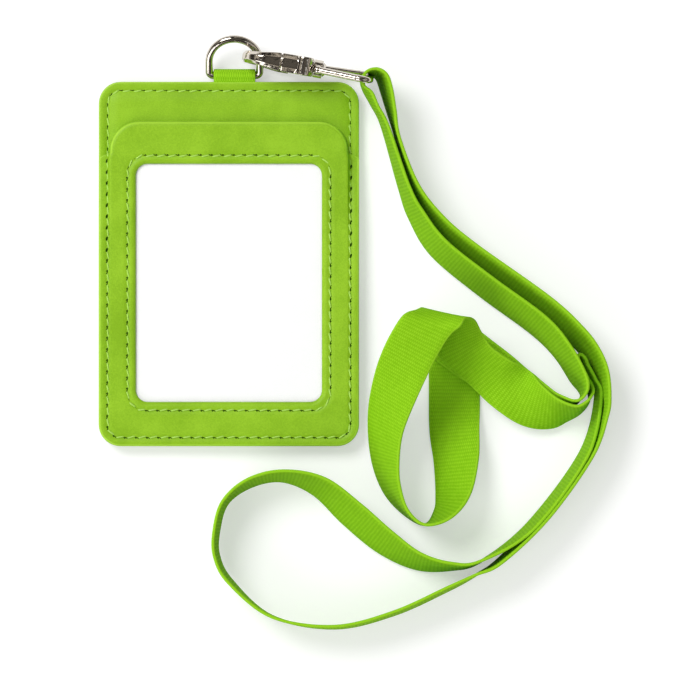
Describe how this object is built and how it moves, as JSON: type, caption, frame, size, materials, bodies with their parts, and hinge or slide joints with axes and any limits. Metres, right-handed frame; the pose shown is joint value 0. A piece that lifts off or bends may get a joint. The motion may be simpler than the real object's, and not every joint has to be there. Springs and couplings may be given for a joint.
{
  "type": "id badge wallet",
  "caption": "Leather ID badge wallet with a clear window and blank card, hung by a D-ring and a trigger hook from a flat woven neck strap.",
  "frame": {"origin": "centre of the wallet's flat back, on the surface that it lies on", "axes": "+X to the wallet's right, +Y up the wallet towards the ring, +Z out of its window"},
  "size_m": [0.1474, 0.1712, 0.0247],
  "materials": {
    "lime_leather": "satin",
    "board": "matte",
    "film": "gloss",
    "thread": "matte",
    "webbing": "matte",
    "card": "satin",
    "nickel": "polished",
    "spring_steel": "satin"
  },
  "bodies": {
    "hook": {"hook_body": "nickel", "gate_pin": "nickel", "gate_spring": "spring_steel", "swivel_rivet": "nickel"},
    "gate": {"gate": "nickel"},
    "ring": {"d_ring": "nickel"},
    "wallet": {"rear_pocket": "lime_leather", "back_cover": "lime_leather", "back_board": "board", "inner_panel": "lime_leather", "window_panel": "lime_leather", "window_film": "film", "outer_seam_thread": "thread", "window_seam_thread": "thread", "pocket_seam_thread": "thread", "ring_tab": "webbing"},
    "card": {"card": "card"},
    "strap_and_eye": {"swivel_eye": "nickel", "strap_hook_run": "webbing", "strap_long_run": "webbing", "strap_loop_run": "webbing", "strap_seam_thread": "thread"}
  },
  "joints": [
    {"name": "hook_swivel", "type": "hinge", "parent": "strap_and_eye", "child": "hook", "pos_m": [0.0257, 0.056, 0.0102], "axis": [-0.9848, 0.1736, 0], "range_deg": [-12, 120]},
    {"name": "gate_hinge", "type": "hinge", "parent": "hook", "child": "gate", "pos_m": [0.0217, 0.0567, 0.01285], "axis": [-0.1736, -0.9848, 0], "range_deg": [0, 26], "stiffness_Nm_per_rad": 0.03, "springref_deg": -22.92},
    {"name": "ring_swing", "type": "hinge", "parent": "hook", "child": "ring", "pos_m": [0.0084, 0.06064, 0.006], "axis": [-0.3635, 0.8068, 0.4658], "range_deg": [-8, 1]},
    {"name": "wallet_hinge", "type": "hinge", "parent": "ring", "child": "wallet", "pos_m": [0.0016, 0.0544, 0.0024], "axis": [1, 0, 0], "range_deg": [-60, 15]},
    {"name": "card_slide", "type": "slide", "parent": "wallet", "child": "card", "axis": [0, 1, 0], "range_m": [0, 0.012]}
  ]
}
